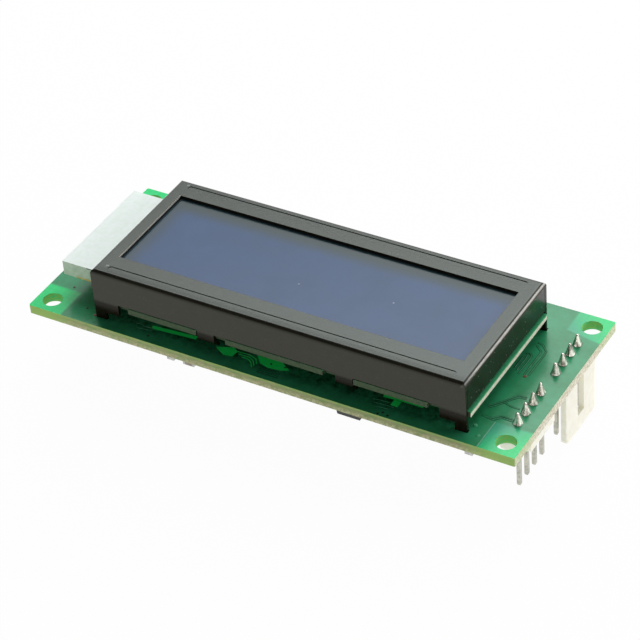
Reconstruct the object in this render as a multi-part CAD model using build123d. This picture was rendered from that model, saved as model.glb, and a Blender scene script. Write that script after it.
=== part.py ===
from build123d import *
import os

# A side-lit graphic display in a folded bezel, on its own thin board above a controller board.
# Lengths are in millimetres and angles in degrees.
# The origin is the centre of the four mounting holes, on the top face of the main board.
# +X runs towards the end with the two pin headers, and +Z comes out of the display.

# Main board
board_length = 86.0
board_width = 35.0
board_thickness = 1.6
board_corner_radius = 0.3
mounting_hole_inset = 2.75
mounting_hole_diameter = 3.3

# Header pins
pin_pitch = 2.54
pin_width = 0.64
pin_row_inset = 3.1
pins_per_header = 4
pin_above_board = 1.9
pin_below_board = 10.5
pin_taper_length = 0.5
pin_taper_angle = 18.0
pin_hole_diameter = 1.0

# Solder joints on the header pins
solder_pad_radius = 0.8
solder_waist_radius = 0.56
solder_waist_height = 0.45
solder_top_radius = 0.48
solder_height = 1.3
solder_flat_count = 12

# Header bases
header_base_height = 3.18
header_base_front = 1.4
header_base_back = 2.6
header_base_chamfer = 0.3
header_relief_depth = 0.4
header_relief_margin = 1.0
serial_rib_depth = 0.75
serial_rib_inset = 1.1

# Friction wall of the power header
friction_wall_thickness = 0.95
friction_wall_height = 11.0
friction_wall_lead_in = 0.45
friction_wall_corner = 0.4
friction_slot_width = 2.3
friction_slot_height = 8.3
friction_ramp_height = 1.3
friction_ramp_depth = 0.45
friction_ramp_offset = 0.3

# Display stack, from the main board upwards
board_gap = 2.45
display_board_thickness = 1.0
backlight_height = 2.6
polariser_thickness = 0.15
glass_thickness = 1.1
bezel_clearance = 0.05

# Bezel
bezel_end_margin = 2.55
bezel_centre_x = 1.3
bezel_front_inset = 2.25
sheet_thickness = 0.5
bend_inner_radius = 0.2
corner_seam = 0.14
side_wall_lift = 0.45
window_length = 60.5
window_width = 18.0
window_offset_x = -0.1
window_offset_y = 0.35

# Stiffening grooves of the bezel
groove_end_inset = 2.35
groove_width = 1.0
groove_depth = 0.1
groove_inset = 1.7

# Bezel legs that reach into the main board
leg_width = 4.5
leg_shoulder_height = 1.3
foot_width = 2.0
foot_below_board = 0.5
slot_clearance = 0.15

# Bezel tabs that grip the display board
tab_width = 3.0
tab_offset = 12.2
tab_drop = 0.25
tab_hook_length = 1.7
tab_hook_angle = 40.0

# Display board
display_board_end_overhang = 0.35
display_board_side_overhang = 0.1
corner_notch_spare = 1.9
tab_notch_spare = 2.1
notch_clearance = 0.2
chip_dome_radius = 4.5
chip_dome_shoulder = 4.0
chip_dome_crown = 2.4
chip_dome_height = 1.4
chip_dome_offset_x = 15.0
chip_dome_offset_y = -2.7

# Liquid crystal cell
glass_end_clearance = 0.6
glass_side_clearance = 0.3
rear_glass_inset = 0.25
polariser_end_inset = 0.5
polariser_side_inset = 0.2
contact_strip_inset = 1.7
contact_strip_width = 1.8
contact_strip_clearance = 0.25
contact_strip_outer_clearance = 0.1

# Backlight
backlight_width = 20.9
backlight_overhang = 7.9
backlight_end_clearance = 0.6
backlight_rim = 1.0
backlight_floor = 0.3
reflector_thickness = 0.1
diffuser_thickness = 0.2
film_clearance = 0.1
led_board_thickness = 0.3
led_board_lap = 1.5
led_board_reach = 5.5
led_length = 3.0
led_depth = 1.0
led_height = 1.2
led_count = 4
led_pitch = 4.6
led_clearance = 0.2

# Link between the two boards
link_pin_count = 8
link_strip_width = 2.5
link_strip_centre_x = 5.0
link_strip_inset = 3.65
link_pin_below_board = 0.9

# Parts under the main board
mould_draft = 6.0
dimple_radius = 0.35
dimple_inset = 1.1
dimple_depth = 0.15
lead_thickness = 0.15
lead_knee_share = 0.3
lead_heel_share = 0.5
controller_size = 10.0
controller_height = 2.0
controller_leads_per_side = 11
controller_lead_pitch = 0.8
controller_lead_width = 0.34
controller_lead_reach = 1.3
controller_place = (3.0, -3.0)
serial_chip_length = 9.9
serial_chip_width = 3.9
serial_chip_height = 1.5
serial_chip_leads_per_side = 8
serial_chip_lead_pitch = 1.27
serial_chip_lead_width = 0.42
serial_chip_lead_reach = 1.05
serial_chip_behind_pins = 14.9
serial_chip_y = -6.5
chip_standoff = 0.12
regulator_length = 6.5
regulator_width = 3.5
regulator_height = 1.6
regulator_lead_pitch = 2.3
regulator_lead_width = 0.7
regulator_tab_width = 3.0
regulator_lead_reach = 1.75
regulator_behind_pins = 12.9
regulator_y = 7.5
crystal_length = 11.4
crystal_width = 4.7
crystal_height = 3.6
crystal_rim = 0.4
crystal_base_height = 0.8
crystal_lead_width = 0.6
crystal_lead_reach = 0.7
crystal_place = (-13.0, -4.0)
tantalum_length = 6.0
tantalum_width = 3.2
tantalum_height = 2.5
tantalum_behind_pins = 20.4
tantalum_by_regulator_y = 8.0
tantalum_left_places = ((-22.0, 7.5), (-32.0, 2.0))
diode_length = 4.1
diode_width = 2.6
diode_height = 2.1
diode_x = 14.3
diode_inset = 1.4
wrap_thickness = 0.12
wrap_width_share = 0.7
capacitor_length = 2.0
capacitor_width = 1.25
capacitor_height = 1.25
resistor_height = 0.5
chip_cap_length = 0.4
edge_part_inset = 0.75
capacitor_lengthwise_places = ((-2.5, 3.0), (10.5, 3.5), (18.0, -11.5), (-21.0, -7.5))
edge_capacitor_x = -13.7
edge_upright_x = (-17.0, 35.0)
resistor_places = ((-4.0, -11.5), (-1.0, -11.5), (2.0, -11.5), (5.0, -11.5), (-26.0, -3.0), (-26.0, -6.0))

# Lengths and widths of the pieces that the bezel holds, and of the bezel that fits round them
bezel_length = window_length + 2 * bezel_end_margin
half_stack_width = backlight_width / 2 + contact_strip_clearance + contact_strip_width
bezel_inner_half = half_stack_width + contact_strip_outer_clearance + abs(window_offset_y)
bezel_width = 2 * (bezel_inner_half + sheet_thickness)
front_glass_length = bezel_length - 2 * (sheet_thickness + glass_end_clearance)
front_glass_width = bezel_width - 2 * (sheet_thickness + glass_side_clearance)
rear_glass_width = backlight_width - 2 * rear_glass_inset

# Places on the main board
mounting_spacing_x = board_length - 2 * mounting_hole_inset
mounting_spacing_y = board_width - 2 * mounting_hole_inset
pin_row_x = board_length / 2 - pin_row_inset
bezel_centre_y = -board_width / 2 + bezel_front_inset + bezel_width / 2
link_strip_y = bezel_centre_y + bezel_width / 2 - link_strip_inset
serial_chip_place = (pin_row_x - serial_chip_behind_pins, serial_chip_y)
regulator_place = (pin_row_x - regulator_behind_pins, regulator_y)
tantalum_by_regulator = (pin_row_x - tantalum_behind_pins, tantalum_by_regulator_y)
tantalum_places = (tantalum_by_regulator,) + tantalum_left_places

# Heights and edges that several pieces share
board_underside = -board_thickness
display_board_underside = board_gap
display_board_top = display_board_underside + display_board_thickness
backlight_top = display_board_top + backlight_height
rear_glass_underside = backlight_top + polariser_thickness
front_glass_underside = rear_glass_underside + glass_thickness
front_glass_top = front_glass_underside + glass_thickness
polariser_top = front_glass_top + polariser_thickness
bezel_top = polariser_top + bezel_clearance + sheet_thickness
bezel_left = bezel_centre_x - bezel_length / 2
bezel_right = bezel_centre_x + bezel_length / 2
window_y = bezel_centre_y + window_offset_y
backlight_left = bezel_left - backlight_overhang
backlight_right = bezel_right - sheet_thickness - backlight_end_clearance
header_offset_y = (pins_per_header + 1) / 2 * pin_pitch
header_length = pins_per_header * pin_pitch


def block(x_range, y_range, z_range):
    """A rectangular block between the given limits."""
    size = [high - low for low, high in (x_range, y_range, z_range)]
    centre = [(high + low) / 2 for low, high in (x_range, y_range, z_range)]
    return Pos(*centre) * Box(*size)


def around(centre, size):
    """The limits of a length that is centred on a point."""
    return (centre - size / 2, centre + size / 2)


def header_spots(centre_y):
    """The pin centres of one header."""
    row = GridLocations(pin_pitch, pin_pitch, 1, pins_per_header)
    return [Pos(pin_row_x, centre_y) * spot for spot in row]


def link_spots():
    """The pin centres of the strip that joins the two boards."""
    row = GridLocations(pin_pitch, pin_pitch, link_pin_count, 1)
    return [Pos(link_strip_centre_x, link_strip_y) * spot for spot in row]


def at_bezel_corners(piece):
    """One copy of a piece drawn in the bezel's own quarter, mirrored into all four."""
    half = [piece, mirror(piece, Plane.YZ)]
    whole = half + [mirror(each, Plane.XZ) for each in half]
    return [Pos(bezel_centre_x, bezel_centre_y) * each for each in whole]


def main_board():
    """The controller board, drilled for screws, header pins and link pins, slotted for the feet."""
    outline = RectangleRounded(board_length, board_width, board_corner_radius)
    screws = GridLocations(mounting_spacing_x, mounting_spacing_y, 2, 2)
    outline -= [spot * Circle(mounting_hole_diameter / 2) for spot in screws]
    pins = header_spots(-header_offset_y) + header_spots(header_offset_y) + link_spots()
    outline -= [spot * Circle(pin_hole_diameter / 2) for spot in pins]
    slot_length = foot_width + 2 * slot_clearance
    slot_width = sheet_thickness + 2 * slot_clearance
    slot_x = (bezel_length - foot_width) / 2
    slot_y = (bezel_width - sheet_thickness) / 2
    slot = Pos(slot_x, slot_y) * Rectangle(slot_length, slot_width)
    outline -= at_bezel_corners(slot)
    return extrude(outline, amount=-board_thickness)


def header_pin():
    """A square pin with tapered ends, at the origin, through the board."""
    section = Rectangle(pin_width, pin_width)
    low = board_underside - pin_below_board + pin_taper_length
    high = pin_above_board - pin_taper_length
    shank = Pos(0, 0, low) * extrude(section, amount=high - low)
    tip = extrude(section, amount=pin_taper_length, taper=pin_taper_angle)
    return Pos(0, 0, low) * mirror(tip, Plane.XY) + shank + Pos(0, 0, high) * tip


def header_pins(centre_y):
    """The four pins of one header."""
    return Compound([spot * header_pin() for spot in header_spots(centre_y)])


def solder_joints():
    """Concave cones of solder that climb the header pins from their pads, with flats like cooled metal."""
    foot = RegularPolygon(solder_pad_radius, solder_flat_count)
    waist = Pos(0, 0, solder_waist_height) * RegularPolygon(solder_waist_radius, solder_flat_count)
    top = Pos(0, 0, solder_height) * RegularPolygon(solder_top_radius, solder_flat_count)
    cone = loft([foot, waist, top], ruled=True) - header_pin()
    spots = header_spots(-header_offset_y) + header_spots(header_offset_y)
    return Compound([spot * cone for spot in spots])


def header_base(centre_y):
    """The moulded base of one header, with a relief on the side that faces the board."""
    x_range = (pin_row_x - header_base_back, pin_row_x + header_base_front)
    z_range = (board_underside - header_base_height, board_underside)
    base = block(x_range, around(centre_y, header_length), z_range)
    base = chamfer(base.edges().filter_by(Axis.Z).sort_by(Axis.X)[:2], header_base_chamfer)
    relief_x = (x_range[0] + header_relief_margin, x_range[1] - header_relief_margin)
    relief_z = (board_underside - header_relief_depth, board_underside)
    relief_y = around(centre_y, header_length - 2 * header_relief_margin)
    return base - block(relief_x, relief_y, relief_z)


def drilled_for_pins(base, centre_y):
    """A header base with the square holes that its pins are pressed into."""
    bore = block(around(0, pin_width), around(0, pin_width), (board_underside - pin_below_board, 0))
    return base - [spot * bore for spot in header_spots(centre_y)]


def serial_header_base():
    """The plain header, with a rib along the face that looks out over the board's end."""
    rib_x = (pin_row_x + header_base_front, pin_row_x + header_base_front + serial_rib_depth)
    rib_y = around(-header_offset_y, header_length - 2 * serial_rib_inset)
    rib_z = (board_underside - header_base_height, board_underside)
    base = header_base(-header_offset_y) + block(rib_x, rib_y, rib_z)
    return drilled_for_pins(base, -header_offset_y)


def power_header_housing():
    """The keyed header: a base with a tall slotted wall and the ramp that grips the plug."""
    inner = pin_row_x + header_base_front
    outer = inner + friction_wall_thickness
    tip = board_underside - friction_wall_height
    wall = block((inner, outer), around(header_offset_y, header_length), (tip, board_underside))
    wall = chamfer(wall.edges().filter_by(Axis.X).group_by(Axis.Z)[0], friction_wall_corner)
    inner_tip_edge = wall.edges().group_by(Axis.Z)[0].filter_by(Axis.Y).sort_by(Axis.X)[0]
    wall = chamfer(inner_tip_edge, friction_wall_lead_in)
    slot_z = (board_underside - friction_slot_height, board_underside)
    slot_y = around(header_offset_y, friction_slot_width)
    wall -= block((inner, outer), slot_y, slot_z)
    ramp_top = slot_z[0] - friction_ramp_offset
    ramp_line = Polyline(
        (inner, ramp_top),
        (inner - friction_ramp_depth, ramp_top),
        (inner, ramp_top - friction_ramp_height),
        close=True,
    )
    ramp_plane = Plane.XZ.offset(-slot_y[0])
    ramp = extrude(ramp_plane * make_face(ramp_line), amount=-friction_slot_width)
    return drilled_for_pins(header_base(header_offset_y) + wall + ramp, header_offset_y)


def folded_shell():
    """The bezel's blank: one sheet folded down on four sides, open below."""
    height = bezel_top - leg_shoulder_height
    outer = Pos(0, 0, bezel_top - height / 2) * Box(bezel_length, bezel_width, height)
    outer = fillet(outer.edges().group_by(Axis.Z)[-1], bend_inner_radius + sheet_thickness)
    inner_length = bezel_length - 2 * sheet_thickness
    inner_width = bezel_width - 2 * sheet_thickness
    inner = Pos(0, 0, bezel_top - sheet_thickness - height / 2) * Box(inner_length, inner_width, height)
    inner = fillet(inner.edges().group_by(Axis.Z)[-1], bend_inner_radius)
    return outer - inner


def bezel_wall_cuts():
    """What is cut from the shell's walls to leave the legs, and the seams between the walls."""
    low = leg_shoulder_height - sheet_thickness
    leg_gap = bezel_length - 2 * leg_width
    long_sides = block(around(0, leg_gap), around(0, 2 * bezel_width), (low, display_board_top))
    ends_y = bezel_width - 2 * sheet_thickness
    ends = block(around(0, 2 * bezel_length), around(0, ends_y), (low, display_board_top + side_wall_lift))
    seam_top = bezel_top - sheet_thickness - bend_inner_radius
    seam_x = (bezel_length / 2 - sheet_thickness - corner_seam, bezel_length / 2 + sheet_thickness)
    seam_y = around(ends_y / 2 - corner_seam / 2, corner_seam)
    seam = block(seam_x, seam_y, (low, seam_top))
    seams = [seam, mirror(seam, Plane.YZ)]
    seams += [mirror(each, Plane.XZ) for each in seams]
    return [long_sides, ends] + seams


def bezel_foot():
    """The narrow foot of a corner leg, from its shoulder down through the main board."""
    x_range = (bezel_length / 2 - foot_width, bezel_length / 2)
    y_range = (bezel_width / 2 - sheet_thickness, bezel_width / 2)
    return block(x_range, y_range, (board_underside - foot_below_board, leg_shoulder_height))


def bezel_tab():
    """A tab that passes the display board's edge and bends inwards below it."""
    outer = bezel_width / 2
    knee = display_board_underside - tab_drop
    slope = Vector(0, 0, -tab_hook_length).rotate(Axis.X, -tab_hook_angle)
    across = Vector(0, -sheet_thickness, 0).rotate(Axis.X, -tab_hook_angle)
    inner_knee = (outer - sheet_thickness, knee)
    outer_end = (inner_knee[0] + slope.Y - across.Y, inner_knee[1] + slope.Z - across.Z)
    inner_end = (inner_knee[0] + slope.Y, inner_knee[1] + slope.Z)
    outline = Polyline(
        (outer, display_board_top),
        (outer, inner_knee[1] - across.Z),
        outer_end,
        inner_end,
        inner_knee,
        (outer - sheet_thickness, display_board_top),
        close=True,
    )
    side = Plane.YZ.offset(tab_offset - tab_width / 2)
    return extrude(side * make_face(outline), amount=tab_width)


def stiffening_groove(side):
    """A long groove pressed into the top of the bezel, and the ridge that it leaves below."""
    centre_y = side * (bezel_width / 2 - groove_inset)
    groove_length = bezel_length - 2 * groove_end_inset
    mouth = Pos(0, centre_y, bezel_top) * SlotOverall(groove_length, groove_width)
    ridge_width = groove_width + 2 * groove_depth
    ridge_length = groove_length + 2 * groove_depth
    underside = bezel_top - sheet_thickness
    back = Pos(0, centre_y, underside) * SlotOverall(ridge_length, ridge_width)
    return extrude(mouth, amount=-groove_depth), extrude(back, amount=-groove_depth)


def bezel():
    """The folded bezel with its window, grooves, legs and tabs."""
    shell = folded_shell() - bezel_wall_cuts()
    for side in (-1, 1):
        groove, ridge = stiffening_groove(side)
        shell = shell + ridge - groove
    shell -= Pos(window_offset_x, window_offset_y, bezel_top) * Box(
        window_length, window_width, 4 * sheet_thickness
    )
    backlight_y = around(window_offset_y, backlight_width + 2 * notch_clearance)
    backlight_x = (-bezel_length, -bezel_length / 2 + 2 * sheet_thickness)
    shell -= block(backlight_x, backlight_y, (0, backlight_top + notch_clearance))
    shell = Pos(bezel_centre_x, bezel_centre_y) * shell
    return shell + at_bezel_corners(bezel_foot()) + at_bezel_corners(bezel_tab())


def display_board():
    """The thin board that carries the display, notched where the bezel grips it."""
    length = bezel_length + 2 * display_board_end_overhang
    width = bezel_width + 2 * display_board_side_overhang
    outline = Pos(bezel_centre_x, bezel_centre_y) * Rectangle(length, width)
    notch_depth = sheet_thickness + notch_clearance + display_board_side_overhang
    notch_y = (width - notch_depth) / 2
    corner_length = leg_width + corner_notch_spare + display_board_end_overhang
    corner = Pos((length - corner_length) / 2, notch_y) * Rectangle(corner_length, notch_depth)
    tab_notch_length = tab_width + tab_notch_spare + notch_clearance
    tab_notch_x = tab_offset + tab_width / 2 + notch_clearance - tab_notch_length / 2
    tab_notch = Pos(tab_notch_x, notch_y) * Rectangle(tab_notch_length, notch_depth)
    outline -= at_bezel_corners(corner) + at_bezel_corners(tab_notch)
    return Pos(0, 0, display_board_underside) * extrude(outline, amount=display_board_thickness)


def chip_domes():
    """Two domes of black resin over the driver chips, under the display board."""
    outline = Polyline(
        (0, 0),
        (chip_dome_radius, 0),
        (chip_dome_shoulder, -chip_dome_height / 2),
        (chip_dome_crown, -chip_dome_height),
        (0, -chip_dome_height),
        close=True,
    )
    dome = revolve(Plane.XZ * make_face(outline), Axis.Z)
    pair = GridLocations(2 * chip_dome_offset_x, chip_dome_radius, 2, 1)
    middle = Pos(bezel_centre_x, bezel_centre_y + chip_dome_offset_y, display_board_underside)
    return Compound([middle * spot * dome for spot in pair])


def glass_sheet(length, width, centre_y, underside, thickness):
    """A flat sheet of the display stack, centred on the bezel's length."""
    sheet = extrude(Rectangle(length, width), amount=thickness)
    return Pos(bezel_centre_x, centre_y, underside) * sheet


def polariser(underside):
    """A film on one face of the cell, a little smaller than the rear glass."""
    length = front_glass_length - 2 * polariser_end_inset
    width = rear_glass_width - 2 * polariser_side_inset
    return glass_sheet(length, width, window_y, underside, polariser_thickness)


def contact_strips():
    """The two elastomer strips that join the display board to the ledges of the front glass."""
    x_range = around(bezel_centre_x, front_glass_length - 2 * contact_strip_inset)
    z_range = (display_board_top, front_glass_underside)
    offset = backlight_width / 2 + contact_strip_clearance + contact_strip_width / 2
    strips = []
    for side in (-1, 1):
        y_range = around(window_y + side * offset, contact_strip_width)
        strips.append(block(x_range, y_range, z_range))
    return Compound(strips)


def light_guide_limits():
    """The limits in X and Y of the pocket for the light guide."""
    left = bezel_left + sheet_thickness
    right = backlight_right - backlight_rim
    return (left, right), around(window_y, backlight_width - 2 * backlight_rim)


def led_range_x():
    """Where the light-emitting parts stand, just outside the light guide's end."""
    face = light_guide_limits()[0][0] - led_clearance
    return (face - led_depth, face)


def backlight_housing():
    """The white housing: a tray for the light guide, and a closed block over the light sources."""
    y_range = around(window_y, backlight_width)
    body = block((backlight_left, backlight_right), y_range, (display_board_top, backlight_top))
    pocket_x, pocket_y = light_guide_limits()
    floor = display_board_top + backlight_floor
    body -= block(pocket_x, pocket_y, (floor, backlight_top))
    led_x = (led_range_x()[0] - led_clearance, pocket_x[0])
    led_roof = floor + led_height + led_clearance
    body -= block(led_x, pocket_y, (floor, led_roof))
    body -= block(led_board_range_x(), y_range, (display_board_top, floor))
    return body


def led_board_range_x():
    """The light source board runs from under the block onto the display board."""
    left = bezel_left - led_board_reach
    return (left, bezel_left - display_board_end_overhang + led_board_lap)


def backlight_led_board():
    """The thin board that carries the light sources."""
    z_range = (display_board_top, display_board_top + led_board_thickness)
    return block(led_board_range_x(), around(window_y, backlight_width), z_range)


def backlight_leds():
    """The row of side-emitting light sources."""
    low = display_board_top + led_board_thickness
    z_range = (low, low + led_height)
    lamps = []
    for spot in GridLocations(led_pitch, led_pitch, 1, led_count):
        y_range = around(window_y + spot.position.Y, led_length)
        lamps.append(block(led_range_x(), y_range, z_range))
    return Compound(lamps)


def guide_layer(underside, top):
    """A sheet that lies in the tray, clear of its rim."""
    x_range, y_range = light_guide_limits()
    inner_x = (x_range[0] + film_clearance, x_range[1] - film_clearance)
    inner_y = (y_range[0] + film_clearance, y_range[1] - film_clearance)
    return block(inner_x, inner_y, (underside, top))


def board_link_strip():
    """The spacer that holds the link pins between the two boards."""
    length = link_pin_count * pin_pitch
    y_range = around(link_strip_y, link_strip_width)
    strip = block(around(link_strip_centre_x, length), y_range, (0, board_gap))
    bore = block(around(0, pin_width), around(0, pin_width), (0, board_gap))
    return strip - [spot * bore for spot in link_spots()]


def board_link_pins():
    """Square pins through the main board, soldered end on to the display board's underside."""
    z_range = (board_underside - link_pin_below_board, display_board_underside)
    pin = block(around(0, pin_width), around(0, pin_width), z_range)
    return Compound([spot * pin for spot in link_spots()])


def under_board(x, y, turn=0):
    """The place of a part on the board's underside, with its own +Z pointing away from the board."""
    return Pos(x, y, board_underside) * Rot(180, 0, turn)


def moulded_body(length, width, height, standoff):
    """A moulded package, widest at its parting line."""
    half = (height - standoff) / 2
    upper = extrude(Rectangle(length, width), amount=half, taper=mould_draft)
    return Pos(0, 0, standoff + half) * (upper + mirror(upper, Plane.XY))


def dimpled_body(length, width, height):
    """A moulded package with leads, and a dimple beside its first one."""
    corner_x = length / 2 - dimple_inset
    corner_y = width / 2 - dimple_inset
    dimple = Pos(-corner_x, -corner_y, height) * Cylinder(dimple_radius, 2 * dimple_depth)
    return moulded_body(length, width, height, chip_standoff) - dimple


def gull_wing_lead(reach, height, width):
    """A lead that leaves a package at half height, steps down and lies flat on the board."""
    shoulder = (height + chip_standoff) / 2 - lead_thickness / 2
    knee = reach * lead_knee_share
    heel = reach * lead_heel_share
    bend = lead_thickness / 2
    outline = Polyline(
        (0, shoulder + lead_thickness),
        (knee, shoulder + lead_thickness),
        (heel, lead_thickness),
        (reach, lead_thickness),
        (reach, 0),
        (heel - bend, 0),
        (knee - bend, shoulder),
        (0, shoulder),
        close=True,
    )
    plane = Plane.XZ.offset(-width / 2)
    return extrude(plane * make_face(outline), amount=width)


def lead_row(lead, count, pitch, body_half, turn):
    """One side's row of leads, turned to its side of the package."""
    row = GridLocations(pitch, pitch, 1, count)
    return [Rot(0, 0, turn) * Pos(body_half, 0) * spot * lead for spot in row]


def controller_chip():
    """The square controller package."""
    body = dimpled_body(controller_size, controller_size, controller_height)
    return under_board(*controller_place) * body


def controller_chip_leads():
    """The controller's leads, on four sides."""
    lead = gull_wing_lead(controller_lead_reach, controller_height, controller_lead_width)
    leads = []
    for turn in (0, 90, 180, 270):
        leads += lead_row(lead, controller_leads_per_side, controller_lead_pitch, controller_size / 2, turn)
    return Compound([under_board(*controller_place) * each for each in leads])


def serial_chip():
    """The small interface package beside the serial header."""
    body = dimpled_body(serial_chip_length, serial_chip_width, serial_chip_height)
    return under_board(*serial_chip_place) * body


def serial_chip_leads():
    """The interface chip's leads, on its two long sides."""
    lead = gull_wing_lead(serial_chip_lead_reach, serial_chip_height, serial_chip_lead_width)
    leads = []
    for turn in (90, 270):
        leads += lead_row(
            lead, serial_chip_leads_per_side, serial_chip_lead_pitch, serial_chip_width / 2, turn
        )
    return Compound([under_board(*serial_chip_place) * each for each in leads])


def voltage_regulator():
    """The regulator's package."""
    body = moulded_body(regulator_length, regulator_width, regulator_height, chip_standoff)
    return under_board(*regulator_place) * body


def voltage_regulator_leads():
    """Three leads on one side of the regulator, and its wide cooling tab on the other."""
    lead = gull_wing_lead(regulator_lead_reach, regulator_height, regulator_lead_width)
    tab = gull_wing_lead(regulator_lead_reach, regulator_height, regulator_tab_width)
    pieces = lead_row(lead, 3, regulator_lead_pitch, regulator_width / 2, 90)
    pieces += lead_row(tab, 1, regulator_lead_pitch, regulator_width / 2, 270)
    return Compound([under_board(*regulator_place) * each for each in pieces])


def crystal_can():
    """The crystal's drawn metal can, with the welded rim round its foot."""
    rim = extrude(SlotOverall(crystal_length, crystal_width), amount=crystal_rim)
    can_length = crystal_length - 2 * crystal_rim
    can_width = crystal_width - 2 * crystal_rim
    can_height = crystal_height - crystal_base_height
    can = extrude(SlotOverall(can_length, can_width), amount=can_height)
    can = chamfer(can.edges().group_by(Axis.Z)[-1], crystal_rim)
    return under_board(*crystal_place) * Pos(0, 0, crystal_base_height) * (can + rim)


def crystal_base():
    """The insulating foot under the crystal's can, grooved for its two leads."""
    foot = extrude(Rectangle(crystal_length, crystal_width), amount=crystal_base_height)
    groove = block(around(0, crystal_length), around(0, crystal_lead_width), (0, lead_thickness))
    return under_board(*crystal_place) * (foot - groove)


def crystal_leads():
    """Two flat leads that run out from under the crystal's foot."""
    y_range = around(0, crystal_lead_width)
    outer = crystal_length / 2 + crystal_lead_reach
    lead = block((crystal_width / 2, outer), y_range, (0, lead_thickness))
    pair = [lead, mirror(lead, Plane.YZ)]
    return Compound([under_board(*crystal_place) * each for each in pair])


def wrapped_terminals(length, width, height):
    """The two strips that run down a moulded part's ends and fold under it."""
    outer = length / 2 + wrap_thickness
    y_range = around(0, width * wrap_width_share)
    upright = block((length / 2, outer), y_range, (0, height / 2))
    foot = block((length / 4, outer), y_range, (0, wrap_thickness))
    strip = upright + foot
    return [strip, mirror(strip, Plane.YZ)]


def tantalum_capacitors():
    """The moulded bodies of the reservoir capacitors."""
    body = moulded_body(tantalum_length, tantalum_width, tantalum_height, wrap_thickness)
    return Compound([under_board(*place) * body for place in tantalum_places])


def tantalum_terminals():
    """The end strips of the reservoir capacitors."""
    strips = wrapped_terminals(tantalum_length, tantalum_width, tantalum_height)
    return Compound([under_board(*place) * strip for place in tantalum_places for strip in strips])


def diode_place():
    """The protection diode lies along the board's front edge."""
    return under_board(diode_x, -board_width / 2 + diode_inset + diode_width / 2)


def protection_diode():
    """The moulded body of the protection diode."""
    return diode_place() * moulded_body(diode_length, diode_width, diode_height, wrap_thickness)


def protection_diode_terminals():
    """The end strips of the protection diode."""
    strips = wrapped_terminals(diode_length, diode_width, diode_height)
    return Compound([diode_place() * strip for strip in strips])


def chip_part(height):
    """The ceramic middle and the two metal ends of a small surface part."""
    middle_length = capacitor_length - 2 * chip_cap_length
    middle = extrude(Rectangle(middle_length, capacitor_width), amount=height)
    cap_x = (middle_length / 2, capacitor_length / 2)
    cap = block(cap_x, around(0, capacitor_width), (0, height))
    return middle, [cap, mirror(cap, Plane.YZ)]


def capacitor_spots():
    """The places of the small capacitors, most inboard and three along the front edge."""
    front = -board_width / 2 + edge_part_inset
    spots = [under_board(x, y) for x, y in capacitor_lengthwise_places]
    spots.append(under_board(edge_capacitor_x, front + capacitor_width / 2))
    spots += [under_board(x, front + capacitor_length / 2, 90) for x in edge_upright_x]
    return spots


def ceramic_capacitors():
    """The ceramic bodies of the small capacitors."""
    middle = chip_part(capacitor_height)[0]
    return Compound([spot * middle for spot in capacitor_spots()])


def ceramic_capacitor_ends():
    """The metal ends of the small capacitors."""
    ends = chip_part(capacitor_height)[1]
    return Compound([spot * end for spot in capacitor_spots() for end in ends])


def resistor_spots():
    """The places of the chip resistors."""
    return [under_board(x, y, 90) for x, y in resistor_places]


def chip_resistors():
    """The ceramic bodies of the chip resistors."""
    middle = chip_part(resistor_height)[0]
    return Compound([spot * middle for spot in resistor_spots()])


def chip_resistor_ends():
    """The metal ends of the chip resistors."""
    ends = chip_part(resistor_height)[1]
    return Compound([spot * end for spot in resistor_spots() for end in ends])


tray_floor = display_board_top + backlight_floor
guide_underside = tray_floor + reflector_thickness
guide_top = backlight_top - diffuser_thickness

nodes = {
    "main_board": main_board(),
    "serial_header_base": serial_header_base(),
    "serial_header_pins": header_pins(-header_offset_y),
    "power_header_housing": power_header_housing(),
    "power_header_pins": header_pins(header_offset_y),
    "solder_joints": solder_joints(),
    "display_board": display_board(),
    "driver_chip_domes": chip_domes(),
    "board_link_strip": board_link_strip(),
    "board_link_pins": board_link_pins(),
    "backlight_housing": backlight_housing(),
    "backlight_led_board": backlight_led_board(),
    "backlight_leds": backlight_leds(),
    "reflector_film": guide_layer(tray_floor, guide_underside),
    "light_guide": guide_layer(guide_underside, guide_top),
    "diffuser_film": guide_layer(guide_top, backlight_top),
    "contact_strips": contact_strips(),
    "rear_polariser": polariser(backlight_top),
    "rear_glass": glass_sheet(
        front_glass_length, rear_glass_width, window_y, rear_glass_underside, glass_thickness
    ),
    "front_glass": glass_sheet(
        front_glass_length, front_glass_width, bezel_centre_y, front_glass_underside, glass_thickness
    ),
    "front_polariser": polariser(front_glass_top),
    "bezel": bezel(),
    "controller_chip": controller_chip(),
    "controller_chip_leads": controller_chip_leads(),
    "serial_chip": serial_chip(),
    "serial_chip_leads": serial_chip_leads(),
    "voltage_regulator": voltage_regulator(),
    "voltage_regulator_leads": voltage_regulator_leads(),
    "crystal_can": crystal_can(),
    "crystal_base": crystal_base(),
    "crystal_leads": crystal_leads(),
    "tantalum_capacitors": tantalum_capacitors(),
    "tantalum_terminals": tantalum_terminals(),
    "protection_diode": protection_diode(),
    "protection_diode_terminals": protection_diode_terminals(),
    "ceramic_capacitors": ceramic_capacitors(),
    "ceramic_capacitor_ends": ceramic_capacitor_ends(),
    "chip_resistors": chip_resistors(),
    "chip_resistor_ends": chip_resistor_ends(),
}

os.makedirs("parts", exist_ok=True)
for name, shape in nodes.items():
    export_step(shape, f"parts/{name}.step")
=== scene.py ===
import bpy
import numpy as np
from mathutils import Matrix, Vector


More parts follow.
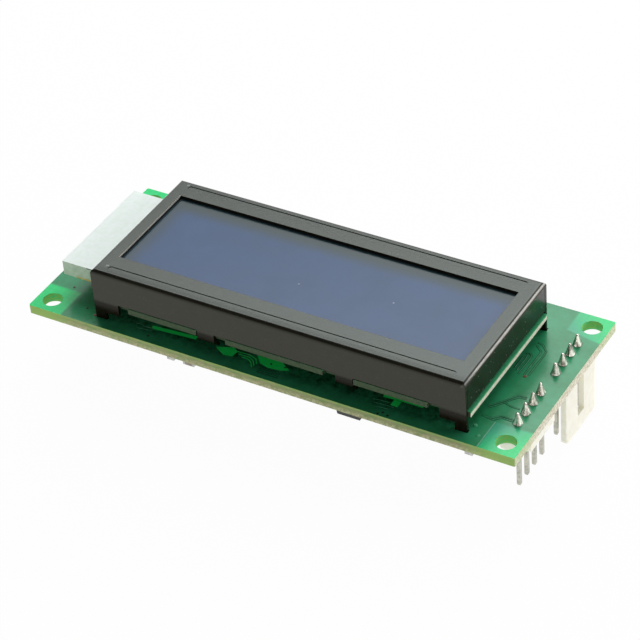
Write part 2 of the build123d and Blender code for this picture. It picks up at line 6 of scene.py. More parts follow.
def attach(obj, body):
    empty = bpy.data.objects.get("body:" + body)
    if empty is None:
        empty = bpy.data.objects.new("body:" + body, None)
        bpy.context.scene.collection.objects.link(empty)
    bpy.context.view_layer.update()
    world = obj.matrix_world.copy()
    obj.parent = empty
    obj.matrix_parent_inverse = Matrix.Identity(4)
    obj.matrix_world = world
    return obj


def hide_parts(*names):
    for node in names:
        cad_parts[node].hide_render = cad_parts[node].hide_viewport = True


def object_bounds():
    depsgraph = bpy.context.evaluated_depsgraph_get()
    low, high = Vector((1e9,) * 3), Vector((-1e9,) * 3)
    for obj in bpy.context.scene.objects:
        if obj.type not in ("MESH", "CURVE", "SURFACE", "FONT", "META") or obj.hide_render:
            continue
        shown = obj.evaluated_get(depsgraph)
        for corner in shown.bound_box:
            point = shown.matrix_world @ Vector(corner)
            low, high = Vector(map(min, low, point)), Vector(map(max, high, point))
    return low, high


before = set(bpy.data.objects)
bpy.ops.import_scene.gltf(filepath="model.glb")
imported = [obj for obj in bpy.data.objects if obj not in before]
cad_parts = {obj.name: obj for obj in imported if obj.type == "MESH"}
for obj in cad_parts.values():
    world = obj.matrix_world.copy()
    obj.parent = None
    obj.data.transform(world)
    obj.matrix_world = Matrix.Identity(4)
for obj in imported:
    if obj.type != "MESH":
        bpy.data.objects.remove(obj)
cad_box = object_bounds()

# Main board
# A 1.6 mm glass-epoxy board with a copper pour on both faces and glossy green solder mask over it.
# Round the four mounting holes there is no copper, so the laminate glows bright green there.
# It was routed from a panel: the edges and the unplated holes show the raw, layered laminate.
mm = 0.001
scene = bpy.context.scene


def linear(code):
    """The linear colour of an sRGB hex code: c / 12.92 up to 0.04045, else ((c + 0.055) / 1.055) ** 2.4."""
    c = np.array([int(code[i:i + 2], 16) for i in (1, 3, 5)]) / 255
    c = np.where(c <= 0.04045, c / 12.92, ((c + 0.055) / 1.055) ** 2.4)
    return (*c.tolist(), 1.0)


def add(tree, kind, inputs=(), settings=()):
    """Adds a node with its settings. Each input takes a number, a hex colour, a socket, or the first output
    of a node, which is the colour where the node mixes colours."""
    node = tree.nodes.new("ShaderNode" + kind)
    for key, value in dict(settings).items():
        setattr(node, key, value)
    for key, value in dict(inputs).items():
        if isinstance(value, str):
            value = linear(value)
        if isinstance(value, bpy.types.Node):
            mixes_colours = value.bl_idname == "ShaderNodeMix" and value.data_type == "RGBA"
            value = value.outputs[2 if mixes_colours else 0]
        if isinstance(value, bpy.types.NodeSocket):
            tree.links.new(value, node.inputs[key])
        else:
            node.inputs[key].default_value = value
    return node


# settings and a range that many nodes share
colours = {"data_type": "RGBA"}
times = {"operation": "MULTIPLY"}
greater = {"operation": "GREATER_THAN"}
less = {"operation": "LESS_THAN"}
largest = {"operation": "MAXIMUM"}
smallest = {"operation": "MINIMUM"}
within = {"operation": "COMPARE"}
unsigned = {"operation": "ABSOLUTE"}
soft_step = {"interpolation_type": "SMOOTHSTEP"}
contrast = {"From Min": 0.35, "From Max": 0.65}


def begin(name):
    """A new material, its node tree, and the point being shaded in millimetres."""
    made = bpy.data.materials.new(name)
    made.use_nodes = True
    tree = made.node_tree
    tree.nodes.clear()
    where = add(tree, "TexCoord")
    point = add(tree, "Mapping", {"Vector": where.outputs["Object"], "Scale": (1000, 1000, 1000)})
    return made, tree, point


def close(tree, shader):
    """Ends a material: one Principled shader with these inputs, joined to the output."""
    surface = add(tree, "BsdfPrincipled", shader)
    add(tree, "OutputMaterial", {"Surface": surface})


def sense(tree, point):
    """The point's x, y and z in mm, and those of the way its surface faces, as sockets by letter."""
    normal = add(tree, "TexCoord").outputs["Normal"]
    at = add(tree, "SeparateXYZ", {"Vector": point})
    facing = add(tree, "SeparateXYZ", {"Vector": normal})
    return at.outputs, facing.outputs


def dress(node, finish):
    """Gives a CAD node its finish, in each of its material slots."""
    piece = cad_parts[node]
    if not piece.material_slots:
        piece.data.materials.append(finish)
    for slot in piece.material_slots:
        slot.material = finish


half_length, half_width = 43.0, 17.5
underside = -1.6
keepout_x, keepout_y = 36.9, 11.35
edge_start, edge_end = -0.2, 0.24
slant_x, slant_y, slant_at = 0.18, 0.984, 19.0
mask_on_copper_dark = "#2A8254"
mask_on_copper_light = "#349468"
mask_on_laminate = "#1AD076"
mask_by_right_holes = "#3E9C80"
cut_olive = "#7C9E5C"
cut_brown = "#B2A67E"
cut_shade = "#6C7250"
cut_cream = "#F0ECDC"
cut_green = "#9CC466"
hole_wall_green = "#52CC7C"
hole_wall_amber = "#A0C05A"

# Glossy liquid solder mask over copper: a clear coat's gloss over a deep green that the pour deepens.
board_finish, tree, point = begin("glossy_green_solder_mask")
at, facing = sense(tree, point)
level = add(tree, "Math", {0: facing["Z"]}, unsigned)
on_face = add(tree, "Math", {0: level, 1: 0.5}, greater)
away_x = add(tree, "Math", {0: at["X"]}, unsigned)
away_y = add(tree, "Math", {0: at["Y"]}, unsigned)
# the corners past both keepout lines are bare, and the pour cuts off those at the back on a slant
past_x = add(tree, "MapRange", {
    "Value": away_x, "From Min": keepout_x + edge_start, "From Max": keepout_x + edge_end})
past_y = add(tree, "MapRange", {
    "Value": away_y, "From Min": keepout_y + edge_start, "From Max": keepout_y + edge_end})
slant_share = add(tree, "Math", {0: away_x, 1: slant_x}, times)
slant = add(tree, "Math", {0: at["Y"], 1: slant_y, 2: slant_share}, {"operation": "MULTIPLY_ADD"})
past_slant = add(tree, "MapRange", {"Value": slant, "From Min": slant_at, "From Max": slant_at + edge_end})
in_front = add(tree, "Math", {0: at["Y"], 1: 0.0}, less)
allowed = add(tree, "Math", {0: past_slant, 1: in_front}, largest)
corner = add(tree, "Math", {0: past_x, 1: past_y}, times)
bare = add(tree, "Math", {0: corner, 1: allowed}, times)
# copper grain and mask thickness wander over a few millimetres
drift = add(tree, "TexNoise", {"Vector": point, "Scale": 0.25, "Detail": 6.0, "Roughness": 0.65})
drift_spread = add(tree, "MapRange", {"Value": drift, **contrast})
pour = add(tree, "Mix", {0: drift_spread, 6: mask_on_copper_dark, 7: mask_on_copper_light}, colours)
# the glass cloth's threads, drawn 0.9 mm apart so that they show, come through where there is no copper
threads = [add(tree, "TexWave", {"Vector": point, "Scale": 0.35, "Distortion": 0.6, "Detail": 1.0}, {
    "bands_direction": way}).outputs["Fac"] for way in "XY"]
weave = add(tree, "Math", {0: threads[0], 1: threads[1]}, times)
weave_mix = add(tree, "Math", {0: weave, 1: 0.16}, times)
laminate = add(tree, "Mix", {0: weave_mix, 6: mask_on_laminate, 7: "#58E08E"}, colours)
# at the right-hand holes the laminate is bright towards the board's corner and turns teal towards the pour
to_corner = add(tree, "Math", {0: away_x, 1: away_y}, {"operation": "ADD"})
off_corner = add(tree, "MapRange", {"Value": to_corner, "From Min": 58.0, "From Max": 50.5, "To Max": 0.88})
right_half = add(tree, "Math", {0: at["X"], 1: 0.0}, greater)
teal = add(tree, "Math", {0: off_corner, 1: right_half}, times)
laminate_all = add(tree, "Mix", {0: teal, 6: laminate, 7: mask_by_right_holes}, colours)
face_plain = add(tree, "Mix", {0: bare, 6: pour, 7: laminate_all}, colours)
# the pour's edge stands up under the mask and catches a thin line of light at the front right hole
at_rim = add(tree, "Math", {0: at["X"], 1: keepout_x - 0.1, 2: 0.08}, within)
rim_span = add(tree, "Math", {0: at["Y"], 1: -keepout_y}, less)
rim_line = add(tree, "Math", {0: at_rim, 1: rim_span}, times)
rim_faint = add(tree, "Math", {0: rim_line, 1: 0.5}, times)
face = add(tree, "Mix", {0: rim_faint, 6: face_plain, 7: "#9CC4B4"}, colours)
# layers of cloth in the cut edge: long streaks a fifth of a millimetre thick
layers_at = add(tree, "Mapping", {"Vector": point, "Scale": (0.7, 0.7, 5.0)})
layers = add(tree, "TexNoise", {"Vector": layers_at, "Scale": 1.0, "Detail": 6.0, "Roughness": 0.7})
layers_spread = add(tree, "MapRange", {"Value": layers, "From Min": 0.42, "From Max": 0.62})
edge_lit = add(tree, "Mix", {0: layers_spread, 6: cut_olive, 7: cut_brown}, colours)
shade = add(tree, "MapRange", {"Value": at["X"], "From Min": -28.0, "From Max": 20.0, "To Max": 0.4})
edge_shaded = add(tree, "Mix", {0: shade, 6: edge_lit, 7: cut_shade}, colours)
grit = add(tree, "TexNoise", {"Vector": point, "Scale": 2.6, "Detail": 5.0, "Roughness": 0.75})
grit_spread = add(tree, "MapRange", {"Value": grit, "From Min": 0.4, "From Max": 0.6})
low_half = add(tree, "MapRange", {"Value": at["Z"], "From Min": -0.6, "From Max": -1.3, "To Max": 0.75})
low_grit = add(tree, "Math", {0: low_half, 1: grit_spread}, times)
edge = add(tree, "Mix", {0: low_grit, 6: edge_shaded, 7: "#D2CEA8"}, colours)
# faces turned to the right are painted cream: painted light from the right-hand lamp on the cut edge
lit_right_faces = add(tree, "MapRange", {"Value": facing["X"], "From Min": 0.5, "From Max": 0.9, "To Max": 0.9})
cream = add(tree, "Mix", {0: grit_spread, 6: "#BEB29A", 7: cut_cream}, colours)
edge_with_painted_light = add(tree, "Mix", {0: lit_right_faces, 6: edge, 7: cream}, colours)
glow = add(tree, "MapRange", {"Value": away_x, "From Min": 34.0, "From Max": 39.0, "To Max": 0.8})
glow_y = add(tree, "MapRange", {"Value": away_y, "From Min": 10.0, "From Max": 13.0})
glow_side = add(tree, "MapRange", {
    "Value": facing["X"], "From Min": 0.5, "From Max": 0.9, "To Min": 1.0, "To Max": 0.35})
glow_corner = add(tree, "Math", {0: glow, 1: glow_y}, times)
glow_both = add(tree, "Math", {0: glow_corner, 1: glow_side}, times)
edge_all = add(tree, "Mix", {0: glow_both, 6: edge_with_painted_light, 7: cut_green}, colours)
top_lip = add(tree, "MapRange", {"Value": at["Z"], "From Min": -0.55, "From Max": -0.05, "To Max": 0.55})
side_lip = add(tree, "Math", {0: top_lip, 1: glow_side}, times)
edge_lipped = add(tree, "Mix", {0: side_lip, 6: edge_all, 7: cut_green}, colours)
# the screw holes' walls lie further in from the outline than this, and are lit through the laminate
rim_depth = 0.6
inside_x = add(tree, "Math", {0: away_x, 1: half_length - rim_depth}, less)
inside_y = add(tree, "Math", {0: away_y, 1: half_width - rim_depth}, less)
inside = add(tree, "Math", {0: inside_x, 1: inside_y}, times)
wall = add(tree, "Mix", {0: layers_spread, 6: hole_wall_green, 7: hole_wall_amber}, colours)
sides = add(tree, "Mix", {0: inside, 6: edge_lipped, 7: wall}, colours)
# the strip below the bezel's front wall is painted darker in patches: painted shade and a painted dark
# reflection of the wall
strip_near = add(tree, "MapRange", {"Value": at["Y"], "From Min": -17.2, "From Max": -14.0}, soft_step)
strip_left = add(tree, "MapRange", {"Value": at["X"], "From Min": -33.5, "From Max": -29.0}, soft_step)
strip_right = add(tree, "MapRange", {"Value": at["X"], "From Min": 33.8, "From Max": 31.0}, soft_step)
strip_back = add(tree, "Math", {0: at["Y"], 1: -11.0}, less)
painted_shade_patches = add(tree, "TexNoise", {"Vector": point, "Scale": 0.55, "Detail": 7.0, "Roughness": 0.75})
painted_shade_patches_spread = add(tree, "MapRange", {
    "Value": painted_shade_patches, "From Min": 0.4, "From Max": 0.6, "To Min": 0.25, "To Max": 0.95})
strip = strip_near
for share in (strip_left, strip_right, strip_back, painted_shade_patches_spread):
    strip = add(tree, "Math", {0: strip, 1: share}, times)
face_painted_shade = add(tree, "Mix", {0: strip, 6: face, 7: "#10301C"}, colours)
skin = add(tree, "Mix", {0: on_face, 6: sides, 7: face_painted_shade}, colours)
gloss = add(tree, "MapRange", {"Value": on_face, "To Min": 0.75, "To Max": 0.24})
peel = add(tree, "TexNoise", {"Vector": point, "Scale": 1.6, "Detail": 4.0})
ripple = add(tree, "Bump", {"Strength": 0.6, "Distance": 0.02 * mm, "Height": peel})
# the mask is duller towards the left end
mask_shine = add(tree, "MapRange", {
    "Value": at["X"], "From Min": -38.5, "From Max": -33.5, "To Min": 0.2, "To Max": 0.34})
close(tree, {
    "Base Color": skin, "Roughness": gloss, "IOR": 1.5, "Specular IOR Level": mask_shine, "Normal": ripple})
dress("main_board", board_finish)

# Tracks, vias and bare patches
# Etched copper tracks under the mask, each with a narrow gap of bare laminate on both sides, and small
# vias under the mask. They follow what shows of the board's top; the underside carries the buses.
track_height = 0.035
gap_height = 0.008
pitch = 2.54


def carry(path, profile):
    """Carries a closed profile of (across, up) pairs along a path of (x, y, z) points, in mm.
    Ring i is path[i] + across * side[i] + up * z, where side is the normal in plan, longer at a bend."""
    path = np.asarray(path, float)
    steps = np.diff(path[:, :2], axis=0)
    steps /= np.linalg.norm(steps, axis=1, keepdims=True)
    before = np.vstack([steps[:1], steps])
    after = np.vstack([steps, steps[-1:]])
    along = before + after
    along /= np.linalg.norm(along, axis=1, keepdims=True)
    stretch = 1 / np.maximum((along * before).sum(1), 0.4)
    side = np.column_stack([-along[:, 1], along[:, 0]]) * stretch[:, None]
    profile = np.asarray(profile, float)
    rings = np.zeros((len(path), len(profile), 3))
    rings[:, :, :2] = path[:, None, :2] + side[:, None, :] * profile[None, :, :1]
    rings[:, :, 2] = path[:, None, 2] + profile[None, :, 1]
    return rings


def skin_of(rings):
    """Vertices and faces of a tube of closed rings (n, m, 3): quads between neighbours, and a polygon at
    each end."""
    n, m = rings.shape[:2]
    i, j = np.meshgrid(np.arange(n - 1), np.arange(m), indexing="ij")
    k = (j + 1) % m
    quads = np.stack([i * m + j, i * m + k, (i + 1) * m + k, (i + 1) * m + j], -1).reshape(-1, 4)
    ends = [list(range(m))[::-1], list(range((n - 1) * m, n * m))]
    return rings.reshape(-1, 3), quads.tolist() + ends


def build(name, parts, finish, smooth=False, replaced=()):
    """Joins (vertices, faces) parts in mm into one mesh object at the origin that rides on the root body."""
    count, vertices, faces = 0, [], []
    for part_vertices, part_faces in parts:
        vertices.append(part_vertices)
        faces += [[index + count for index in face_] for face_ in part_faces]
        count += len(part_vertices)
    mesh = bpy.data.meshes.new(name)
    mesh.from_pydata((np.vstack(vertices) * mm).tolist(), [], faces)
    mesh.materials.append(finish)
    mesh.polygons.foreach_set("use_smooth", np.full(len(mesh.polygons), smooth))
    mesh.update()
    piece = bpy.data.objects.new(name, mesh)
    scene.collection.objects.link(piece)
    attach(piece, "root")
    if replaced:
        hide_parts(*replaced)


def ribbon(points, z, width, height):
    """A flat strip with sloped flanks along (x, y) points: a trapezoid profile carried along the line.
    A negative height hangs it below z, as on the underside."""
    w, c = width / 2, min(width * 0.2, abs(height))
    profile = [(-w, 0), (w, 0), (w - c, height), (-w + c, height)]
    if height < 0:
        profile = profile[::-1]
    points = np.asarray(points, float)
    return skin_of(carry(np.column_stack([points, np.full(len(points), z)]), profile))


def plate(outline, z, height):
    """A flat prism on z: the (x, y) outline, anticlockwise from above, raised by height."""
    outline = np.asarray(outline, float)
    rings = np.zeros((2, len(outline), 3))
    rings[:, :, :2] = outline
    rings[:, :, 2] = [[z], [z + height]]
    return skin_of(rings)


def turn(profile, centre, count=20):
    """Spins (radius, z) pairs round a vertical line at centre: x = cx + r cos a, y = cy + r sin a, with
    end caps."""
    profile = np.asarray(profile, float)
    a = np.linspace(0, 2 * np.pi, count, endpoint=False)
    rings = np.zeros((len(profile), count, 3))
    rings[:, :, 0] = centre[0] + profile[:, :1] * np.cos(a)
    rings[:, :, 1] = centre[1] + profile[:, :1] * np.sin(a)
    rings[:, :, 2] = profile[:, 1:]
    return skin_of(rings)


def hung(profile):
    """A profile of (radius, height) pairs turned over, so that it hangs from the board's underside."""
    return [(r, underside - z) for r, z in profile][::-1]


def mottled(name, dark, light, grain, relief, roughness, shader):
    """A finish whose colour wanders between two tones in patches grain mm wide, with a bump relief mm high
    a sixth as wide, and edges that catch the light as if rounded by 0.05 mm."""
    made, tree, point = begin(name)
    patches = add(tree, "TexNoise", {"Vector": point, "Scale": 1 / grain, "Detail": 5.0, "Roughness": 0.6})
    spread = add(tree, "MapRange", {"Value": patches, **contrast})
    tone = add(tree, "Mix", {0: spread, 6: dark, 7: light}, colours)
    grit = add(tree, "TexNoise", {"Vector": point, "Scale": 6 / grain, "Detail": 3.0})
    rounded = add(tree, "Bevel", {"Radius": 0.05 * mm}, {"samples": 6})
    bump = add(tree, "Bump", {"Strength": 1.0, "Distance": relief * mm, "Height": grit, "Normal": rounded})
    close(tree, {"Base Color": tone, "Roughness": roughness, "Normal": bump, **shader})
    return made


# Mask over a track: the same gloss as the pour, a shade lighter where the mask is thin on the ridge.
track_finish = mottled("solder_mask_on_track", "#348E60", "#46A478", 1.5, 0.004, 0.24, {
    "IOR": 1.5, "Specular IOR Level": 0.34})
# Bare laminate in the gaps and patches: light from below comes through the glass cloth and glows green.
patch_finish = mottled("solder_mask_on_laminate", "#109446", "#1CA85A", 0.9, 0.004, 0.3, {
    "IOR": 1.5, "Emission Color": "#0CA83A", "Emission Strength": 0.16})
# The narrow gap beside a track and the sunk centre of a via show as thin dark lines and dots.
sunk_finish = mottled("solder_mask_in_hole", "#04241A", "#083020", 0.5, 0.004, 0.5, {
    "IOR": 1.5, "Specular IOR Level": 0.12})
# Thin mask on the copper of a via: brown copper shows through.
copper_finish = mottled("copper_under_thin_mask", "#5A3A2C", "#74503E", 0.3, 0.004, 0.3, {
    "IOR": 1.5, "Specular IOR Level": 0.25})
# The tinned brown wall of an open via, in shadow.
open_finish = mottled("open_via_wall", "#1C1512", "#2E221C", 0.3, 0.004, 0.45, {
    "IOR": 1.5, "Specular IOR Level": 0.2})

# where the tracks run, as the photo shows them, in mm from the board's middle
right_bundle = [
    [(36.48, 0.25), (36.52, 5.43), (36.43, 6.53), (35.23, 7.78), (34.37, 7.99)],
    [(35.8, 0.16), (35.79, 5.78), (35.72, 6.2), (34.46, 7.29)],
    [(34.9, -0.05), (34.95, 3.35), (34.88, 4.67), (34.3, 5.25)],
    [(34.31, 0.56), (34.33, 3.72), (34.24, 4.81), (33.8, 5.1)],
    [(33.75, 1.08), (33.8, 4.2)],
]
pin_lines = [
    [(34.06, -8.59), (35.0, -7.6), (35.82, -6.56), (36.6, -5.3), (37.26, -4.48), (38.6, -4.39)],
    [(34.26, -8.99), (35.2, -8.0), (36.0, -6.91), (36.8, -5.7), (37.47, -4.92), (38.7, -4.8)],
    [(35.98, -6.87), (37.3, -7.25), (38.82, -7.3)],
    [(34.27, -10.83), (35.94, -10.77), (36.98, -9.8), (38.98, -9.78)],
    [(34.86, -10.93), (36.27, -11.11), (37.32, -10.14), (39.05, -10.25)],
]
front_hooks = [
    [(-24.75, -14.18), (-23.96, -13.95), (-22.97, -14.32), (-21.54, -14.21)],
    [(-23.98, -15.07), (-22.6, -14.9), (-21.35, -14.81)],
    [(17.86, -14.38), (19.3, -14.2), (20.8, -14.15)],
    [(18.22, -15.03), (20.0, -14.9), (21.62, -14.88)],
    [(18.9, -15.83), (20.0, -15.6), (20.89, -15.55)],
]
nest = [
    [(-6.83, -13.48), (-4.28, -13.37), (-2.97, -13.82), (-2.25, -14.82)],
    [(-6.05, -13.9), (-4.12, -13.88), (-3.2, -14.31), (-2.42, -15.3)],
    [(-5.28, -14.32), (-4.24, -14.31), (-3.32, -14.76), (-2.58, -15.77)],
]
# four wavy lines by the front edge, 0.42 mm apart
wave_x = np.linspace(-1.4, 2.4, 24)
waves = [np.column_stack([wave_x, -15.15 - 0.42 * k + 0.1 * np.sin(9.0 * wave_x)]) for k in range(4)]
# the buses of the underside, each a set of like tracks one step apart
under_bundle = [
    [(pitch * k - 5.55, 8.0), (pitch * k - 5.35, 6.4 - 0.3 * abs(k - 3.5)), (0.2 + 0.8 * k, 4.9),
    (0.2 + 0.8 * k, 3.2)] for k in range(8)]
under_right = [
    [(9.4, -6.2 + 0.8 * k), (12.0, -6.2 + 0.8 * k), (14.0 + 0.4 * k, -4.6 + 0.35 * k),
    (17.0, -4.6 + 0.35 * k), (20.2 + 1.27 * k, -4.0)] for k in range(5)]
under_left = [
    [(-3.4, -7.0 + 0.8 * k), (-6.0, -7.0 + 0.8 * k), (-9.0 - 0.5 * k, -9.2 + 0.55 * k),
    (-24.0, -9.2 + 0.55 * k), (-27.5, -7.2 + 0.7 * k)] for k in range(6)]
under_pins = [
    [(30.2, -6.5 + 0.6 * k), (33.5, -6.5 + 0.6 * k), (36.0, -9.6 + pitch * k),
    (39.9, pitch * (k - 4))] for k in range(4)]
under_power = [[(27.0 - 1.2 * k, 4.6), (30.0, 2.2 - 0.8 * k), (34.0, 2.2 - 0.8 * k)] for k in range(3)]
# patches and short lines on the front edge that the copper leaves bare
bare_lines = [
    ([(-21.9, -13.95), (-13.97, -13.3)], 0.75),
    ([(18.98, -12.98), (22.34, -12.8), (25.6, -12.75)], 0.75),
    ([(21.5, -13.3), (21.5, -14.6)], 1.2),
]
bare_areas = [
    [(-10.15, -13.87), (-9.08, -14.54), (-8.1, -15.05), (-6.65, -14.85), (-6.44, -13.49), (-7.5, -12.83)],
    [(-3.22, -12.98), (-1.83, -14.44), (-0.27, -14.87), (1.89, -14.63), (3.1, -14.06), (1.04, -12.72)],
]
bare_hair = [(33.12, 8.38), (33.85, 9.31)]
track_width, track_and_gaps = 0.17, 0.34
bus_width, bus_and_gaps = 0.26, 0.5
wave_width, hair_width = 0.13, 0.07
small_via, open_via = 0.85, 0.55
gap_strips, track_strips = [], []
for line in right_bundle + pin_lines + front_hooks:
    gap_strips.append(ribbon(line, 0.0, track_and_gaps, gap_height))
    track_strips.append(ribbon(line, 0.0, track_width, track_height))
for line in under_bundle + under_right + under_left + under_pins + under_power:
    gap_strips.append(ribbon(line, underside, bus_and_gaps, -gap_height))
    track_strips.append(ribbon(line, underside, bus_width, -track_height))
gap_strips += [ribbon(line, 0.0, wave_width, gap_height) for line in waves]
# strips that cross lie at slightly different heights, so that none of their faces coincide
bare_strips = [ribbon(line, 0.0, track_width, gap_height * 0.9) for line in nest]
bare_strips += [ribbon(line, 0.0, width, gap_height * 0.8) for line, width in bare_lines]
bare_strips += [plate(outline, 0.0, gap_height) for outline in bare_areas]
bare_strips.append(ribbon(bare_hair, 0.0, hair_width, gap_height))
build("board_tracks", track_strips, track_finish)
build("track_gaps", gap_strips, sunk_finish)
build("bare_patches", bare_strips, patch_finish)

top_vias = [(34.46, -13.31), (35.88, -15.19)]
copper_vias = [(36.1, -0.11), (-31.75, -15.2)]
open_vias = [
    (-38.88, -10.62), (-21.26, -16.03), (-33.94, -14.27), (20.73, -16.56), (21.7, -16.91), (20.12, -17.1),
    (20.59, -14.17), (-0.2, -13.9), (2.2, -13.7)]
under_vias = [
    (-12.0, -13.0), (-9.5, -14.2), (8.6, -14.8), (11.0, 11.5), (16.0, 13.2), (-18.0, 12.4), (-30.0, -13.4),
    (33.0, -14.0), (26.0, 13.5), (-6.0, 12.6), (1.4, 13.9), (-26.0, 12.0)]
via_ring = [(0.17, 0.0), (0.36, 0.0), (0.34, 0.022), (0.19, 0.028)]
via_dot = [(0.19, 0.0), (0.18, 0.012)]
rings = [turn(via_ring, place) for place in top_vias] + [turn(hung(via_ring), place) for place in under_vias]
build("vias", rings, track_finish, smooth=True)
# the vias with bare copper are smaller, and those in the dark strip along the front are open holes
rings = [turn([(r * small_via, z) for r, z in via_ring], place) for place in copper_vias]
build("copper_vias", rings, copper_finish, smooth=True)
rings = [turn([(r * open_via, z) for r, z in via_ring], place) for place in open_vias]
build("open_vias", rings, open_finish, smooth=True)
dots = [turn(via_dot, place) for place in top_vias + copper_vias]
dots += [turn(hung(via_dot), place) for place in under_vias]
build("via_centres", dots, sunk_finish)

# Solder pads
# Tinned copper pads that the leads and end caps of the underside's parts are soldered to, in reflow
# solder: a low bright mound round every foot, a little larger than the foot on all sides.
pad_height = 0.05
crest_inset = 0.12
ways = (-1, 1)


def mound(places, size):
    """Low four-sided mounds below the board, one at each (x, y) place: a rectangle drawn in by crest_inset
    at its crest."""
    a, b = size[0] / 2, size[1] / 2
    foot = np.array([(-a, -b), (-a, b), (a, b), (a, -b)])
    crest = foot - np.sign(foot) * crest_inset
    rings = np.zeros((len(places), 2, 4, 3))
    rings[:, 0, :, :2] = foot
    rings[:, 1, :, :2] = crest
    rings[..., :2] += np.array(places)[:, None, None, :]
    rings[:, 0, :, 2] = underside
    rings[:, 1, :, 2] = underside - pad_height
    return [skin_of(pair) for pair in rings]


# Reflowed tin solder: bright metal, slightly frosted.
pad_finish = mottled("reflowed_tin_solder", "#B4B6B4", "#D2D2CC", 0.35, 0.006, 0.32, {"Metallic": 1.0})
# each part's middle, and its reach: how far the middles of its feet lie from it
controller_x, controller_y, controller_reach = 3.0, -3.0, 5.95
serial_x, serial_y, serial_reach = 25.0, -6.5, 2.65
regulator_x, regulator_y, regulator_reach = 27.0, 7.5, 2.85
diode_x, diode_y, diode_reach = 14.3, -14.8, 1.8
tantalum_places, tantalum_reach = [(19.5, 8.0), (-22.0, 7.5), (-32.0, 2.0)], 2.7
capacitor_places = [(-2.5, 3.0), (10.5, 3.5), (18.0, -11.5), (-21.0, -7.5)]
resistor_places = [(x, -11.5) for x in (-4.0, -1.0, 2.0, 5.0)]
chip_reach = 0.95
controller_row = (np.arange(11) - 5) * 0.8
serial_row = (np.arange(8) - 3.5) * pitch / 2
regulator_row = (-2.3, 0, 2.3)
pads = mound(
    [(controller_x + c, controller_y + s * controller_reach) for c in controller_row for s in ways],
    (0.48, 1.3))
pads += mound(
    [(controller_x + s * controller_reach, controller_y + c) for c in controller_row for s in ways],
    (1.3, 0.48))
pads += mound([(serial_x + c, serial_y + s * serial_reach) for c in serial_row for s in ways], (0.62, 1.3))
pads += mound([(regulator_x + c, regulator_y - regulator_reach) for c in regulator_row], (1.0, 1.6))
pads += mound([(regulator_x, regulator_y + regulator_reach)], (3.4, 1.6))
pads += mound([(x + s * tantalum_reach, y) for x, y in tantalum_places for s in ways], (1.5, 2.6))
pads += mound([(diode_x + s * diode_reach, diode_y) for s in ways], (1.2, 2.0))
pads += mound(
    [(x + s * chip_reach, y) for x, y in capacitor_places + resistor_places for s in ways], (0.8, 1.45))
build("solder_pads", pads, pad_finish)
link_joint = hung([(0.82, 0.0), (0.78, 0.08), (0.55, 0.25), (0.4, 0.5), (0.3, 0.68), (0.2, 0.8)])
link_pins = [(5.0 + (k - 3.5) * pitch, 8.0) for k in range(8)]
build("link_solder", [turn(link_joint, place, 24) for place in link_pins], pad_finish, smooth=True)

# Board link strip
# A black strip of glass-filled nylon with eight square pins that join the two boards. The pins are soldered
# into both boards, and the strip's height keeps the boards apart.
dress("board_link_strip", mottled("glass_filled_nylon_black", "#101112", "#1B1C1E", 1.2, 0.006, 0.5, {
    "IOR": 1.53}))
# Tin-plated brass: soft silver.
dress("board_link_pins", mottled("tin_plate_link_pins", "#A9A99F", "#C9C8BC", 0.6, 0.004, 0.3, {
    "Metallic": 1.0}))

# Display board
# A thinner board that carries the glass and the bezel. Its faces have the same green mask, and its
# routed edges show pale laminate with a thin green lip where the mask ends.
display_board_finish, tree, point = begin("display_board_mask")
at, facing = sense(tree, point)
level = add(tree, "Math", {0: facing["Z"]}, unsigned)
on_face = add(tree, "Math", {0: level, 1: 0.5}, greater)
lip_at = add(tree, "MapRange", {
    "Value": facing["X"], "From Min": 0.4, "From Max": 0.6, "To Min": 3.5, "To Max": 3.18})
lip = add(tree, "Math", {0: at["Z"], 1: lip_at}, greater)
masked = add(tree, "Math", {0: on_face, 1: lip}, largest)
ragged = add(tree, "TexNoise", {"Vector": point, "Scale": 2.2, "Detail": 6.0, "Roughness": 0.7})
ragged_spread = add(tree, "MapRange", {"Value": ragged, **contrast})
# the cut edge is pale at the right-hand end, and dark green along the front, in the bezel's shade
cut_right = add(tree, "Mix", {0: ragged_spread, 6: "#C9C4A6", 7: "#F0EDDE"}, colours)
cut_front = add(tree, "Mix", {0: ragged_spread, 6: "#2E4A2C", 7: "#4C5A3E"}, colours)
at_end = add(tree, "Math", {0: at["X"], 1: 34.0}, greater)
to_end = add(tree, "Math", {0: facing["X"], 1: at_end}, times)
cut = add(tree, "Mix", {0: to_end, 6: cut_front, 7: cut_right}, colours)
green = add(tree, "Mix", {0: ragged_spread, 6: "#3A9868", 7: "#4CB27C"}, colours)
tone = add(tree, "Mix", {0: masked, 6: cut, 7: green}, colours)
gloss = add(tree, "MapRange", {"Value": masked, "To Min": 0.7, "To Max": 0.3})
bump = add(tree, "Bump", {"Strength": 1.0, "Distance": 0.01 * mm, "Height": ragged})
close(tree, {"Base Color": tone, "Roughness": gloss, "IOR": 1.5, "Normal": bump})
dress("display_board", display_board_finish)
# Glob-top epoxy over the two driver chips: black resin that set with a smooth shine.
epoxy = {"IOR": 1.55}
dress("driver_chip_domes", mottled("glob_top_epoxy", "#0C0C0D", "#161617", 2.0, 0.003, 0.22, epoxy))

# Backlight block
# A white moulded tray that sticks out at the left end over its LED board, with the clear light guide,
# a reflector film under it and a diffuser film on top, all held flat by the glass above.
white_moulding, tree, point = begin("white_polycarbonate")
at, facing = sense(tree, point)
to_front = add(tree, "MapRange", {"Value": facing["Y"], "From Min": -0.4, "From Max": -0.9})
patches_noise = add(tree, "TexNoise", {"Vector": point, "Scale": 1.2, "Detail": 5.0, "Roughness": 0.6})
patches_spread = add(tree, "MapRange", {"Value": patches_noise, **contrast})
top_tone = add(tree, "Mix", {0: patches_spread, 6: "#DAE6E0", 7: "#E2ECE8"}, colours)
